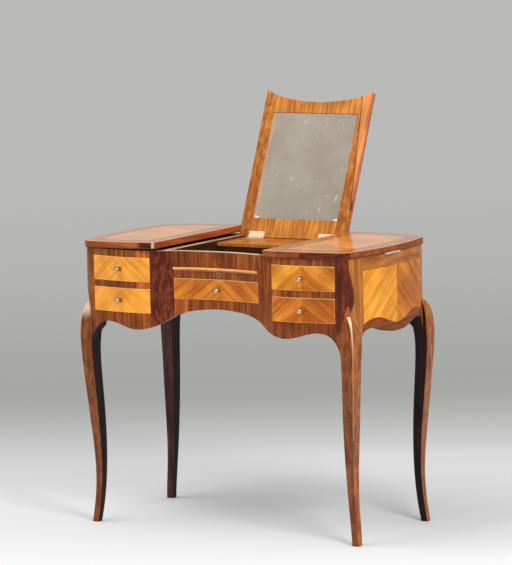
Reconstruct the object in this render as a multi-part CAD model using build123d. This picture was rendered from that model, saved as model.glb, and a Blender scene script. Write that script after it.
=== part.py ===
from build123d import *
import os
from math import atan, cos, degrees, radians, sin, tan

# Poudreuse: a small dressing table with a hinged mirror between two hinged lids.
# Millimetres.  While the pieces are made, X is to the sitter's right, Y to the back, Z up, and the
# origin is on the floor in the middle of the four feet.  export_all() then puts the origin on the
# floor under the middle of the open table.

# ---------------------------------------------------------------- heights, from the top down
top_height = 730.0
lid_thickness = 17.5
lid_gap = 0.3              # daylight between the case and a closed lid
lid_edge = 1.2             # a lid's edges are eased this much
top_rail_height = 17.4
upper_front_height = 61.6
middle_rail_height = 16.9
lower_front_height = 62.4
frieze_height = 40.2
slide_height = 28.2
bead_height = 6.5          # rounded pull along the top of the slide
centre_front_height = 53.2
knee_rise = 24.0           # the leg leaves the case corner this far above the lowest opening

# ---------------------------------------------------------------- plan of the case
recess_half = 123.6        # half width of the hollow middle of the front
inner_stile_width = 54.8
side_drawer_width = 172.7  # opening of a side drawer
corner_post = 31.6         # from that opening to the front corner
middle_front = 180.0       # front of the case on the centre line, forward of the middle of the feet
recess_rise = 16.0         # the hollow comes this far forward at its ends
throat_front = 212.5       # front where it swings from hollow to bow
pedestal_front = 227.5     # foremost line of the case
bow_front = 222.5
outer_front = 213.0        # front at the outer end of the side drawers
corner_y = 204.0
corner_cut = 5.5           # the front corner is cut off this much, each way
side_bow = 24.8            # of the side, past the front corner
side_bow_y = -20.0         # where the side is widest
back_corner_out = 7.3      # the back corner lies this far outside the front corner
back_corner_y = 163.0
cant_width = 42.0          # canted back corner, sideways and endways
cant_depth = 36.0
back_reach = 207.0
wall = 18.0
overhang = 5.0             # of the lids past the front
side_overhang = 2.5
back_overhang = 3.0
recess_overhang = 19.0     # of the mirror panel past the hollow front

# ---------------------------------------------------------------- lower edges
arch_rail = 23.1           # from the middle drawer down to the crown of the kneehole
lobe_depth = 41.9          # from the lower drawers down to the lowest point of the apron
lobe_rise = 17.0           # from there up to the shoulder beside the leg
side_lobe_depth = 39.0
side_lobe_rise = 19.7
back_edge_depth = 23.9
post_side_y = 148.0        # where the side panel meets the corner posts

# ---------------------------------------------------------------- boards and fits
board = 6.0
fit = 0.4                  # clearance of a drawer or slide in its opening
seat_gap = 0.3
front_proud = 1.0          # drawer fronts stand forward of the rails
front_thickness = 15.0
side_thickness = 7.0
side_inset = 2.5           # drawer sides stand in from the ends of the front
drawer_bottom = 4.5
bottom_rise = 5.0          # top of a drawer's bottom, above the lower edge of its front
side_drawer_back = 95.0
centre_drawer_back = 110.0
partition_set = 16.4       # partitions stand this far outside the hollow
partition_thickness = 20.0
well_back = 40.0           # back of the shallow middle well
well_depth = 29.2
well_rail = 8.0            # thickness of the rail and board behind the middle well
slide_board = 7.0
slide_bed = 4.0
slide_drop = 7.0           # underside of the slide's board, above the lower edge of its fascia
slide_back = 70.0
guide_height = 20.0
guide_width = 8.0
guide_past = 20.0          # guides run on this far behind a closed drawer
bead_reach = 5.0           # the slide's rounded pull stands this far forward

# ---------------------------------------------------------------- knobs and escutcheon
knob_radius = 7.5
knob_reach = 15.0          # centre of the ball, forward of the drawer front
knob_seat = 0.1            # a flat base on a bowed front touches only in places
stem_radius = 2.6
rosette_radius = 6.5
rosette_thickness = 2.2
escutcheon_radius = 9.0
escutcheon_thickness = 1.5
keyhole_radius = 1.7
keyhole_length = 5.5

# ---------------------------------------------------------------- lids, mirror and hinges
panel_short = 3.0          # the mirror panel covers each partition but for this much
panel_fit = 0.6            # between the mirror panel and each lid
left_lid_ajar = 1.4        # degrees
mirror_lean = 23.85        # degrees past upright
mirror_hinge_y = 174.0
mirror_knuckle = 2.75      # radius of the hinge barrel
mirror_hinge_length = 46.0
mirror_hinge_inset = 53.0  # from the edge of the mirror panel to the middle of a hinge
mirror_leaf = 15.0
frame_thickness = 9.0
stile_width = 31.0
bottom_rail = 52.0
top_rail = 30.0            # of the mirror frame, at its narrowest
glass_thickness = 4.0
glass_bevel = 11.0
glass_bevel_depth = 1.2
lid_pin_out = 3.2          # the lids' pins lie this far outside the widest point of the side
lid_hinge_y = -25.0
lid_hinge_length = 70.0
lid_knuckle = 2.5
lid_leaf = 18.0
leaf_thickness = 1.2
pin_radius = 1.2
pin_clearance = 0.05
knuckle_gap = 0.3
knuckles = 3
hinge_room = 0.5           # round the barrel in the lid's edge

# ---------------------------------------------------------------- legs
foot = 17.6                # side of the square foot
# height as a share of the shoulder's height; then in feet: reach past the case corner sideways and
# endways, thickness across and along
leg_rows = (
    (0.0, 0.55, -0.765, 1.0, 1.0),
    (0.141, 0.13, -1.075, 1.06, 1.11),
    (0.303, -0.08, -0.965, 1.17, 1.34),
    (0.485, 0.13, -0.535, 1.45, 1.7),
    (0.667, 0.49, -0.045, 1.7, 1.96),
    (0.8285, 0.79, 0.35, 1.83, 2.15),
    (1.0, 0.97, 0.6, 2.15, 2.55),
)
shoulder_drop = 83.0       # from the top of the knee down to its fullest, the shoulder
# the knee above its shoulder: height as a share of that drop, and how much of its reach is left
knee_rows = ((0.2, 0.96), (0.4, 0.89), (0.58, 0.77), (0.73, 0.6), (0.87, 0.35), (1.0, 0.0))
leg_facet = 1.6            # width of the flattened outer edge, each way
knee_facet = 8.0
back_leg_in = 6.0          # the back legs stand this much further in
bracket_inset = 1.0        # the bracket inside the leg's top grows out of it from this depth
bracket_rise = 14.0        # height it takes from the shoulder, to go the first part of the way in
bracket_share = 0.55       # to the corner post

# ---------------------------------------------------------------- derived
case_top = top_height - lid_thickness - lid_gap
panel_face = top_height - lid_thickness
upper_front_top = case_top - top_rail_height
upper_front_bottom = upper_front_top - upper_front_height
lower_front_top = upper_front_bottom - middle_rail_height
lower_front_bottom = lower_front_top - lower_front_height
slide_top = case_top - frieze_height
slide_bottom = slide_top - slide_height
centre_front_bottom = slide_bottom - centre_front_height
knee_top = lower_front_bottom + knee_rise
shoulder = knee_top - shoulder_drop
arch_crown = centre_front_bottom - arch_rail
lobe_bottom = lower_front_bottom - lobe_depth
side_lobe_bottom = lower_front_bottom - side_lobe_depth
back_edge = lower_front_bottom - back_edge_depth
pedestal_inner = recess_half + inner_stile_width
pedestal_outer = pedestal_inner + side_drawer_width
throat_x = recess_half + 0.573 * inner_stile_width
crest_x = pedestal_inner + 0.183 * side_drawer_width
bow_x = pedestal_inner + 0.646 * side_drawer_width
corner_x = pedestal_outer + corner_post
side_reach = corner_x + side_bow
back_corner_x = corner_x + back_corner_out
cant_x = back_corner_x - cant_width
cant_y = back_corner_y + cant_depth
partition_inner = recess_half + partition_set
partition_outer = partition_inner + partition_thickness
panel_half = partition_outer - panel_short
mirror_hinge_x = panel_half - mirror_hinge_inset
lid_inner = panel_half + panel_fit
lid_pin_x = side_reach + lid_pin_out
lid_pin_z = case_top + lid_gap / 2
lid_leaf_low = lid_gap / 2 + leaf_thickness
mirror_pin_z = panel_face - mirror_knuckle
mirror_board_top = panel_face - 2 * mirror_knuckle
mirror_turn = 90.0 + mirror_lean
lean_cos = cos(radians(mirror_lean))
lean_sin = sin(radians(mirror_lean))
pedestal_bed_top = lower_front_bottom - seat_gap
centre_bed_top = centre_front_bottom - seat_gap
well_floor = lower_front_top + board + board / 2
well_floor_top = case_top - well_depth
hollow_radius = (recess_half ** 2 + recess_rise ** 2) / (2 * recess_rise)
far = 2 * corner_x         # well outside the case on every side


# ---------------------------------------------------------------- shapes in plan
def front_line(grow=0.0, depth=0.0):
    """Front outline: a hollow arc in the middle and a serpentine to each corner.  grow adds the
    overhangs and depth moves the line back."""
    def at(x, forward, reach):
        return Vector(x, depth - forward - grow * reach)

    end = at(recess_half, middle_front + recess_rise, recess_overhang)
    hollow = ThreePointArc((-end.X, end.Y), at(0, middle_front, recess_overhang), end)
    corner = at(corner_x + grow * side_overhang, corner_y, side_overhang)
    right = Spline(
        end, at(throat_x, throat_front, 0.85 * recess_overhang), at(crest_x, pedestal_front, overhang),
        at(bow_x, bow_front, overhang), at(pedestal_outer, outer_front, overhang), corner,
        tangents=(hollow % 1, (2, 1)))
    return hollow, right, mirror(right, about=Plane.YZ)


def ahead_of_front(depth=0.0, grow=0.0):
    """Everything in front of the bowed front surface, or of one that lies deeper."""
    hollow, right, left = front_line(grow, depth)
    corner = right @ 1
    rest = Polyline(corner, (far, corner.Y), (far, -far), (-far, -far), (-far, corner.Y),
                    (-corner.X, corner.Y))
    return extrude(make_face(hollow + right + left + rest), amount=top_height + far)


def beyond_side(depth=0.0, grow=0.0):
    """Everything to the right of the right side's bowed surface and of the cut front corner."""
    shift = grow * side_overhang - depth
    start = (corner_x + shift, corner_cut - corner_y - grow * side_overhang)
    cut = (start[0] - far, start[1] - far)
    end = (back_corner_x + shift, back_corner_y)
    edge = ThreePointArc(start, (side_reach + shift, side_bow_y), end)
    rest = Polyline(end, (end[0], far), (far, far), (far, cut[1]), cut, start)
    return extrude(make_face(edge + rest), amount=top_height + far)


def beyond_back(depth=0.0, grow=0.0):
    """Everything behind the bowed back and its canted corners."""
    shift = grow * back_overhang - depth
    inner = (cant_x + grow * side_overhang / 2, cant_y + shift)
    outer = (back_corner_x + grow * side_overhang, back_corner_y + shift)
    edge = ThreePointArc((-inner[0], inner[1]), (0, back_reach + shift), inner)
    rest = Polyline(inner, outer, (far, outer[1]), (far, far), (-far, far), (-far, outer[1]),
                    (-outer[0], outer[1]), (-inner[0], inner[1]))
    return extrude(make_face(edge + rest), amount=top_height + far)


def block(x, y, z):
    """Box from its three ranges."""
    size = [hi - lo for lo, hi in (x, y, z)]
    middle = [(hi + lo) / 2 for lo, hi in (x, y, z)]
    return Pos(*middle) * Box(*size)


def mirrored(shape):
    return mirror(shape, about=Plane.YZ)


def largest(shape):
    """The piece itself, without the waste that falls away beyond its neighbours."""
    return shape.solids().sort_by(SortBy.VOLUME)[-1]


outside_right = beyond_side()
outside_front = ahead_of_front()
outside_back = beyond_back()
inside_wall_right = beyond_side(wall)
inside_front = ahead_of_front(wall)
inside_back = beyond_back(wall)


def seat_wedge():
    """Room for the open mirror panel: its square end comes down on the sloping face."""
    start = mirror_hinge_y - 2.0
    end_face_y = mirror_hinge_y + mirror_knuckle * lean_cos
    end_face_z = mirror_pin_z - mirror_knuckle * lean_sin - seat_gap / lean_cos
    slope = tan(radians(mirror_lean))
    bend_y = end_face_y + (end_face_z - mirror_board_top) / slope
    low_z = mirror_board_top - (far - bend_y) * slope
    profile = Plane.YZ * Polyline((start, mirror_board_top), (bend_y, mirror_board_top), (far, low_z),
                                  (far, far + top_height), (start, far + top_height), close=True)
    half = partition_outer + panel_fit
    return Pos(-half, 0, 0) * extrude(make_face(profile), amount=2 * half)


# ---------------------------------------------------------------- front of the case
def scalloped_front():
    """Profile seen from the front: kneehole arch, lobes under the pedestals, rise to the legs."""
    width = pedestal_outer - pedestal_inner
    drop = arch_crown - lobe_bottom
    arch = ((0.0, 0.0), (0.45, 0.063), (0.82, 0.216), (1.04, 0.423))
    lobe = ((-0.133, 0.698), (0.04, 0.919), (0.24, 1.0))
    tail = ((0.477, 0.5), (0.722, 1.0), (0.89, 0.65), (1.0, -0.41), (1.064, -1.82), (1.085, -2.5))
    right = [(share * recess_half, arch_crown - down * drop) for share, down in arch]
    right += [(pedestal_inner + share * width, arch_crown - down * drop) for share, down in lobe]
    right += [(pedestal_inner + share * width, lobe_bottom + up * lobe_rise) for share, up in tail]
    left = [(-x, z) for x, z in reversed(right[1:])]
    edge = Spline(*(left + right))
    end_x, end_z = right[-1]
    rest = Polyline((end_x, end_z), (end_x, case_top), (-end_x, case_top), (-end_x, end_z))
    face = Plane.XZ * make_face(edge + rest)
    return Pos(0, far, 0) * extrude(face, amount=2 * far)


front_profile = scalloped_front()


def front_piece(x, z, proud=0.0, thickness=wall):
    """A stretch of the bowed front, between the given sides and heights."""
    blank = block(x, (-far / 2, 0), z)
    return (blank & ahead_of_front(thickness - proud)) - ahead_of_front(-proud)


def front_frame(front_leg):
    """Rails, stiles, frieze and scalloped aprons, cut from bowed stock; the aprons meet the legs."""
    low = lobe_bottom - 2 * lobe_depth
    pieces = {}
    centre = (-recess_half, recess_half)
    side = (pedestal_inner, pedestal_outer)
    apron = front_piece((pedestal_inner, corner_x - foot), (low, lower_front_bottom))
    pieces["frieze_centre"] = front_piece(centre, (slide_top, case_top))
    pieces["apron_centre"] = front_piece(centre, (low, centre_front_bottom)) & front_profile
    right = {
        "inner_stile": front_piece((recess_half, pedestal_inner), (low, case_top)) & front_profile,
        "top_rail": front_piece(side, (upper_front_top, case_top)),
        "middle_rail": front_piece(side, (lower_front_top, upper_front_bottom)),
        "apron": (apron & front_profile) - front_leg,
    }
    for name, shape in right.items():
        pieces[name + "_right"] = shape
        pieces[name + "_left"] = mirrored(shape)
    return pieces


def sham_front():
    """Fixed front that closes the pedestal well, matched to the drawer below it."""
    return front_piece((pedestal_inner, pedestal_outer), (upper_front_bottom, upper_front_top), front_proud)


# ---------------------------------------------------------------- sides, back and corner legs
def side_panel(legs):
    """Bowed side with its scalloped lower edge, scribed to the two corner posts."""
    shape = ((0.0, 0.0), (0.4, 0.35), (0.6, 0.78), (0.76, 1.0), (0.89, 0.95), (0.99, 0.66))
    shape += ((1.055, -0.05), (1.085, -0.75), (1.11, -1.5))
    right = [(share * post_side_y, side_lobe_bottom + up * side_lobe_rise) for share, up in shape]
    left = [(-y, z) for y, z in reversed(right[1:])]
    end_y, end_z = right[-1]
    rest = Polyline((end_y, end_z), (end_y, case_top), (-end_y, case_top), (-end_y, end_z))
    profile = extrude(Plane.YZ * make_face(Spline(*(left + right)) + rest), amount=far)
    panel = (profile & inside_wall_right) - outside_right - lid_leaf_bed()
    return largest(panel - legs[0] - legs[1])


def back_panel(legs):
    """Bowed back between the posts, its top cut down where the open mirror stands."""
    shape = ((0.0, 0.14), (0.5, 0.1), (0.84, -0.05), (0.955, -0.33), (1.017, -1.0))
    right = [(share * pedestal_outer, back_edge + up * lobe_depth) for share, up in shape]
    left = [(-x, z) for x, z in reversed(right[1:])]
    end_x, end_z = right[-1]
    rest = Polyline((end_x, end_z), (end_x, case_top), (-end_x, case_top), (-end_x, end_z))
    profile = extrude(Plane.XZ * make_face(Spline(*(left + right)) + rest), amount=-far)
    panel = (profile & inside_back) - outside_back - seat_wedge()
    for post in legs:
        panel = panel - post - mirrored(post)
    return panel


def leg_section(end, height, low, high, facet=0.0):
    """Cross-section between its inner and outer corner, the outer one flattened."""
    points = [(low[0], high[1]), (high[0], high[1]), (high[0], low[1]), low]
    if facet:
        points[1:2] = [(high[0] - facet, high[1]), (high[0], high[1] - facet)]
    return make_face(Polyline(*[(x, end * y, height) for x, y in points], close=True))


def leg(end):
    """Right-hand leg: end is -1 at the front and 1 at the back.  One piece from floor to case top."""
    set_in = back_leg_in if end > 0 else 0.0
    lower = []
    for share, reach_x, reach_y, across, along in leg_rows:
        high = (corner_x + reach_x * foot, corner_y + reach_y * foot - set_in)
        low = (high[0] - across * foot, high[1] - along * foot)
        facet = leg_facet * (1 + share ** 6 / 2)
        lower.append(leg_section(end, share * shoulder, low, high, facet))
    if end < 0:
        tip = (corner_x - corner_cut / 2, corner_y - corner_cut / 2)
    else:
        tip = (back_corner_x, back_corner_y)
    knee = [lower[-1]]
    for share, left in knee_rows:
        outer = [a + (b - a) * left for a, b in zip(tip, high)]
        inner = (low[0], low[1] + (post_side_y + fit - low[1]) * (1 - left))
        bevel = facet + (knee_facet - facet) * (1 - left)
        knee.append(leg_section(end, shoulder + share * shoulder_drop, inner, outer, bevel))
    corner = (pedestal_outer, post_side_y)
    middle = [a + (b - a) * bracket_share for a, b in zip(low, corner)]
    bracket = [
        leg_section(end, shoulder, [inner + bracket_inset for inner in low], (far, far)),
        leg_section(end, shoulder + bracket_rise, middle, (far, far)),
        leg_section(end, lower_front_bottom, corner, (far, far)),
    ]
    reach = (-far, -post_side_y) if end < 0 else (post_side_y, far)
    post = loft(bracket, ruled=True) + block((pedestal_outer, far), reach, (lower_front_bottom, case_top))
    return loft(lower) + loft(knee) + (post - outside_right - outside_front - outside_back)


# ---------------------------------------------------------------- inside of the case
def partition():
    """Upright wall between the middle of the case and a pedestal."""
    z = (pedestal_bed_top - board, case_top)
    blank = block((partition_inner, partition_outer), (-far / 2, far / 2), z)
    return blank - inside_front - inside_back - seat_wedge()


def pedestal_board(top, legs):
    """Board that fills the pedestal's plan, notched round the corner posts."""
    blank = block((partition_outer, far), (-far / 2, far / 2), (top - board, top))
    blank = blank - inside_front - inside_back - inside_wall_right
    for post in legs:
        blank = blank - post
    return blank


def centre_board(half, top, thickness, back):
    blank = block((-half, half), (-far / 2, back), (top - thickness, top))
    return blank - inside_front - inside_back


def centre_guides():
    """Strips on the partitions that guide the middle drawer and the slide."""
    y = (-far / 2, centre_drawer_back + guide_past)
    strip = block((recess_half, partition_inner), y, (centre_bed_top, well_floor_top - board)) - inside_front
    return [strip, mirrored(strip)]


def pedestal_guides():
    """Low strips beside each pedestal drawer."""
    height = (pedestal_bed_top, pedestal_bed_top + guide_height)
    back = side_drawer_back + guide_past
    inner = block((partition_outer, pedestal_inner), (-far / 2, back), height) - inside_front
    outer = block((pedestal_outer, pedestal_outer + guide_width), (-post_side_y, back), height)
    outer = outer - inside_wall_right
    return [inner, outer, mirrored(inner), mirrored(outer)]


def well_back_rail():
    return block((-partition_inner, partition_inner), (well_back, well_back + well_rail),
                 (well_floor_top, mirror_board_top - well_rail))


def mirror_board():
    """Fixed board behind the middle well; the mirror is hinged on it and comes to rest on its slope."""
    z = (mirror_board_top - well_rail, mirror_board_top)
    blank = block((-partition_inner, partition_inner), (well_back, far / 2), z)
    return blank - inside_back - seat_wedge()


# ---------------------------------------------------------------- drawers
def drawer(x, z, back):
    """Bowed front, two sides with a back, and a bottom, for a drawer in the given opening."""
    x0, x1 = x[0] + fit, x[1] - fit
    z0, z1 = z[0] + fit, z[1] - fit
    front = front_piece((x0, x1), (z0, z1), front_proud, front_thickness)
    behind_front = ahead_of_front(front_thickness - front_proud)
    in0, in1 = x0 + side_inset, x1 - side_inset
    top = z1 - bottom_rise
    runner = z0 - fit + seat_gap / 3
    between = (in0 + side_thickness, in1 - side_thickness)
    floor_top = z0 + bottom_rise
    left = block((in0, between[0]), (-far / 2, back), (runner, top)) - behind_front
    right = block((between[1], in1), (-far / 2, back), (runner, top)) - behind_front
    rear = block(between, (back - side_thickness, back), (floor_top, top))
    floor = block(between, (-far / 2, back), (floor_top - drawer_bottom, floor_top)) - behind_front
    return {"front": front, "sides": Compound([left, right, rear]), "bottom": floor}


def front_y(x):
    """How far forward the proud drawer front stands at x, from the centre line."""
    probe = Edge.make_line((x, -far, 1), (x, 0, 1))
    hits = (probe & ahead_of_front(-front_proud)).bounding_box()
    return hits.max.Y


def knob(x, z):
    """Turned ball knob on a stem and rosette, square to the bowed front."""
    neck = (stem_radius, knob_reach - (knob_radius ** 2 - stem_radius ** 2) ** 0.5)
    tip = (0, knob_reach + knob_radius)
    shank = Polyline(tip, (0, 0), (rosette_radius, 0), (stem_radius, rosette_thickness), neck)
    ball = ThreePointArc(neck, (knob_radius, knob_reach), tip)
    turned = revolve(make_face(shank + ball), Axis.Y)
    slope = (front_y(x + knob_radius) - front_y(x - knob_radius)) / (2 * knob_radius)
    return Pos(x, front_y(x) - knob_seat, z) * Rot(0, 0, 180 + degrees(atan(slope))) * turned


# ---------------------------------------------------------------- slide
def slide_front():
    """Fascia of the writing slide with its rounded pull along the top."""
    half = recess_half - fit
    bead_low = slide_top - bead_height
    fascia = front_piece((-half, half), (slide_bottom + fit, bead_low), 0.0, front_thickness)
    nose_radius = (bead_height - fit) / 2
    nose_y = -middle_front - bead_reach + nose_radius
    back_y = -middle_front + front_thickness
    low, middle, high = [bead_low + step * nose_radius for step in range(3)]
    outline = Polyline((nose_y, high), (back_y, high), (back_y, low), (nose_y, low))
    outline = outline + ThreePointArc((nose_y, low), (nose_y - nose_radius, middle), (nose_y, high))
    centre = Pos(0, -middle_front - hollow_radius, 0)
    spread = degrees(2.2 * recess_half / hollow_radius)
    ring = revolve(centre * Rot(0, 0, -spread / 2) * centre.inverse() * (Plane.YZ * make_face(outline)),
                   Axis((0, -middle_front - hollow_radius, 0), (0, 0, 1)), revolution_arc=spread)
    return fascia + (ring & block((-half, half), (-far, 0), (bead_low, slide_top)))


def slide_panel():
    low = slide_bottom + slide_drop
    half = recess_half - side_inset
    blank = block((-half, half), (-far / 2, slide_back), (low, low + slide_board))
    return blank - ahead_of_front(front_thickness)


def escutcheon():
    """Small round keyhole plate on the slide's fascia."""
    z = (slide_bottom + fit + slide_top - bead_height) / 2
    deep = 4 * escutcheon_thickness
    plate = Cylinder(escutcheon_radius, escutcheon_thickness) - Cylinder(keyhole_radius, deep)
    plate = plate - Pos(0, -keyhole_length / 2, 0) * Box(keyhole_radius, keyhole_length, deep)
    y = -middle_front - knob_seat - escutcheon_thickness / 2
    return Pos(0, y, z) * Rot(90, 0, 0) * plate


# ---------------------------------------------------------------- hinges
def butt_hinge(length, leaf, knuckle, low, turn):
    """Butt hinge.  The pin lies along X through the origin and the leaves point to -Y.
    low is how far below the pin the fixed leaf's underside lies; turn opens the moving leaf."""
    pitch = length / knuckles
    fixed = [Rot(0, 90, 0) * Cylinder(pin_radius, length - knuckle_gap)]
    moving = []
    for index in range(knuckles):
        middle = -length / 2 + pitch * (index + 0.5)
        holds_pin = index % 2 == 0
        tube = Cylinder(knuckle, pitch - knuckle_gap)
        if not holds_pin:
            tube = tube - Cylinder(pin_radius + pin_clearance, pitch)
        tube = Pos(middle, 0, 0) * Rot(0, 90, 0) * tube
        span = (middle - pitch / 2 + knuckle_gap / 2, middle + pitch / 2 - knuckle_gap / 2)
        inner_edge = -pin_radius - knuckle_gap
        if holds_pin:
            fixed.append(tube)
            fixed.append(block(span, (-knuckle - pin_radius, inner_edge), (-low, -low + leaf_thickness)))
        else:
            moving.append(tube)
            moving.append(block(span, (-knuckle - pin_radius, inner_edge), (low - leaf_thickness, low)))
    ends = (-length / 2, length / 2)
    fixed.append(block(ends, (-leaf, -knuckle - 0.3), (-low, -low + leaf_thickness)))
    moving.append(block(ends, (-leaf, -knuckle - 0.3), (low - leaf_thickness, low)))
    moving_part = moving[0].fuse(*moving[1:])
    return fixed[0].fuse(*fixed[1:]), Rot(-turn, 0, 0) * moving_part


def lid_hinge_place(side):
    """Pin along Y at the widest point of the side, leaves pointing inwards."""
    quarter = 90 if side > 0 else -90
    return Pos(side * lid_pin_x, lid_hinge_y, lid_pin_z) * Rot(0, 0, -quarter)


def lid_leaf_bed():
    """Shallow bed for the case leaf in the right side's top edge."""
    half = lid_hinge_length / 2
    x = (lid_pin_x - lid_leaf, lid_pin_x)
    return block(x, (lid_hinge_y - half, lid_hinge_y + half), (case_top - leaf_thickness, case_top))


# ---------------------------------------------------------------- top
def lid():
    """Right-hand lid, closed, with its edge cut away for the hinge barrel and leaf."""
    half = lid_hinge_length / 2 + fit
    y = (lid_hinge_y - half, lid_hinge_y + half)
    blank = block((lid_inner, far), (-far / 2, far / 2), (panel_face, top_height))
    blank = blank - ahead_of_front(0, 1) - beyond_side(0, 1) - beyond_back(0, 1)
    blank = chamfer(blank.edges().filter_by(Plane.XY), length=lid_edge)
    notch_x = lid_pin_x - lid_knuckle - hinge_room
    barrel_room = block((notch_x, far), y, (0, lid_pin_z + lid_knuckle + hinge_room))
    leaf_y = (y[0] + fit, y[1] - fit)
    leaf_bed = block((lid_pin_x - lid_leaf, notch_x), leaf_y, (0, panel_face + leaf_thickness))
    return blank - barrel_room - leaf_bed


def open_mirror(shape):
    """Turn a piece of the closed mirror panel up about the hinge pins."""
    at_pin = Pos(0, -mirror_hinge_y, -mirror_pin_z) * shape
    return Pos(0, mirror_hinge_y, mirror_pin_z) * Rot(-mirror_turn, 0, 0) * at_pin


def mirror_pieces():
    """Backboard, butted frame and bevelled glass, made face down as in the closed table."""
    sight_x = panel_half - stile_width
    sight_back = mirror_hinge_y - bottom_rail
    sight_front = -middle_front - recess_overhang + top_rail
    sight_height = sight_back - sight_front
    back_z = panel_face + frame_thickness
    outline = ahead_of_front(0, 1)
    face = (panel_face, back_z)
    ends = (-far / 2, mirror_hinge_y)
    stile = block((sight_x, panel_half), ends, face) - outline
    glass_face = back_z - glass_thickness
    bevel_top = glass_face + glass_bevel_depth
    glass = block((-sight_x, sight_x), (sight_front, sight_back), (bevel_top, back_z))
    middle = Pos(0, (sight_front + sight_back) / 2, 0)
    inset = 2 * glass_bevel
    bevel_foot = Pos(0, 0, bevel_top) * middle * Rectangle(2 * sight_x, sight_height)
    flat = Pos(0, 0, glass_face) * middle * Rectangle(2 * sight_x - inset, sight_height - inset)
    glass = glass + loft([flat, bevel_foot], ruled=True)
    return {
        "mirror_backboard": block((-panel_half, panel_half), ends, (back_z, top_height)) - outline,
        "mirror_stile_right": stile,
        "mirror_stile_left": mirrored(stile),
        "mirror_top_rail": block((-sight_x, sight_x), (-far / 2, sight_front), face) - outline,
        "mirror_bottom_rail": block((-sight_x, sight_x), (sight_back, mirror_hinge_y), face),
        "mirror_glass": glass,
    }


# ---------------------------------------------------------------- assembly
def build_all():
    nodes = {}
    nodes["leg_front_right"] = leg(-1)
    nodes["leg_back_right"] = leg(1)
    right_legs = [nodes["leg_front_right"], nodes["leg_back_right"]]
    nodes["leg_front_left"] = mirrored(nodes["leg_front_right"])
    nodes["leg_back_left"] = mirrored(nodes["leg_back_right"])
    nodes.update(front_frame(nodes["leg_front_right"]))
    knob_x = (pedestal_inner + pedestal_outer) / 2
    upper_z = (upper_front_top + upper_front_bottom) / 2
    lower_z = (lower_front_top + lower_front_bottom) / 2

    right_side = {
        "side_panel": side_panel(right_legs),
        "partition": partition(),
        "well_floor": pedestal_board(well_floor, right_legs),
        "drawer_bed": pedestal_board(pedestal_bed_top, right_legs),
        "sham_front": sham_front(),
    }
    low = drawer((pedestal_inner, pedestal_outer), (lower_front_bottom, lower_front_top), side_drawer_back)
    right_side["drawer_front"] = low["front"]
    right_side["drawer_sides"] = low["sides"]
    right_side["drawer_bottom"] = low["bottom"]
    right_side["drawer_knob"] = knob(knob_x, lower_z)
    for name, shape in right_side.items():
        nodes[name + "_right"] = shape
        nodes[name + "_left"] = mirrored(shape)
    sham_knob = knob(knob_x, upper_z)
    nodes["sham_knobs"] = Compound([sham_knob, mirrored(sham_knob)])

    middle = drawer((-recess_half, recess_half), (centre_front_bottom, slide_bottom), centre_drawer_back)
    nodes["drawer_front_centre"] = middle["front"]
    nodes["drawer_sides_centre"] = middle["sides"]
    nodes["drawer_bottom_centre"] = middle["bottom"]
    nodes["drawer_knob_centre"] = knob(0, (centre_front_bottom + slide_bottom) / 2)

    nodes["back_panel"] = back_panel(right_legs)
    nodes["drawer_bed_centre"] = centre_board(partition_inner, centre_bed_top, board, far)
    bed_top = slide_bottom + slide_drop - seat_gap
    nodes["slide_bed"] = centre_board(recess_half, bed_top, slide_bed, centre_drawer_back + guide_past)
    nodes["well_floor_centre"] = centre_board(partition_inner, well_floor_top, board, far)
    nodes["drawer_guides"] = Compound(centre_guides() + pedestal_guides())
    nodes["well_back_rail"] = well_back_rail()
    nodes["mirror_board"] = mirror_board()
    nodes["slide_front"] = slide_front()
    nodes["slide_board"] = slide_panel()
    nodes["slide_escutcheon"] = escutcheon()

    right_lid = lid()
    case_leaf, lid_leaf_part = butt_hinge(lid_hinge_length, lid_leaf, lid_knuckle, lid_leaf_low, 0)
    nodes["lid_right"] = right_lid
    nodes["lid_hinge_leaf_right"] = lid_hinge_place(1) * lid_leaf_part
    case_leaf = lid_hinge_place(1) * case_leaf
    nodes["lid_hinge_case"] = Compound([case_leaf, mirrored(case_leaf)])
    ajar = Pos(-lid_pin_x, 0, lid_pin_z) * Rot(0, -left_lid_ajar, 0) * Pos(lid_pin_x, 0, -lid_pin_z)
    nodes["lid_left"] = ajar * mirrored(right_lid)
    nodes["lid_hinge_leaf_left"] = ajar * mirrored(nodes["lid_hinge_leaf_right"])

    for name, shape in mirror_pieces().items():
        nodes[name] = open_mirror(shape)
    fixed, moving = butt_hinge(mirror_hinge_length, mirror_leaf, mirror_knuckle, mirror_knuckle, mirror_turn)
    places = [Pos(x, mirror_hinge_y, mirror_pin_z) for x in (-mirror_hinge_x, mirror_hinge_x)]
    nodes["mirror_hinge_fixed"] = Compound([place * fixed for place in places])
    nodes["mirror_hinge_moving"] = Compound([place * moving for place in places])
    return nodes


def export_all():
    nodes = build_all()
    middle_y = Compound(list(nodes.values())).bounding_box().center().Y
    os.makedirs("parts", exist_ok=True)
    for name, shape in nodes.items():
        export_step(Pos(0, -middle_y, 0) * shape, "parts/" + name + ".step")


export_all()
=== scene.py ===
from math import cos, pi, radians, sin

import bmesh
import bpy
from mathutils import Matrix, Vector


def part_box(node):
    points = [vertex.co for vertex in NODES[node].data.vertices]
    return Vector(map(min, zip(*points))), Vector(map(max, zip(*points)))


# Poudreuse dressing table: veneers, stain, metal, mirror glass, floor, light and camera.
# Metres, Z up, front of the table towards -Y, X = 0 on its centre line.

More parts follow.
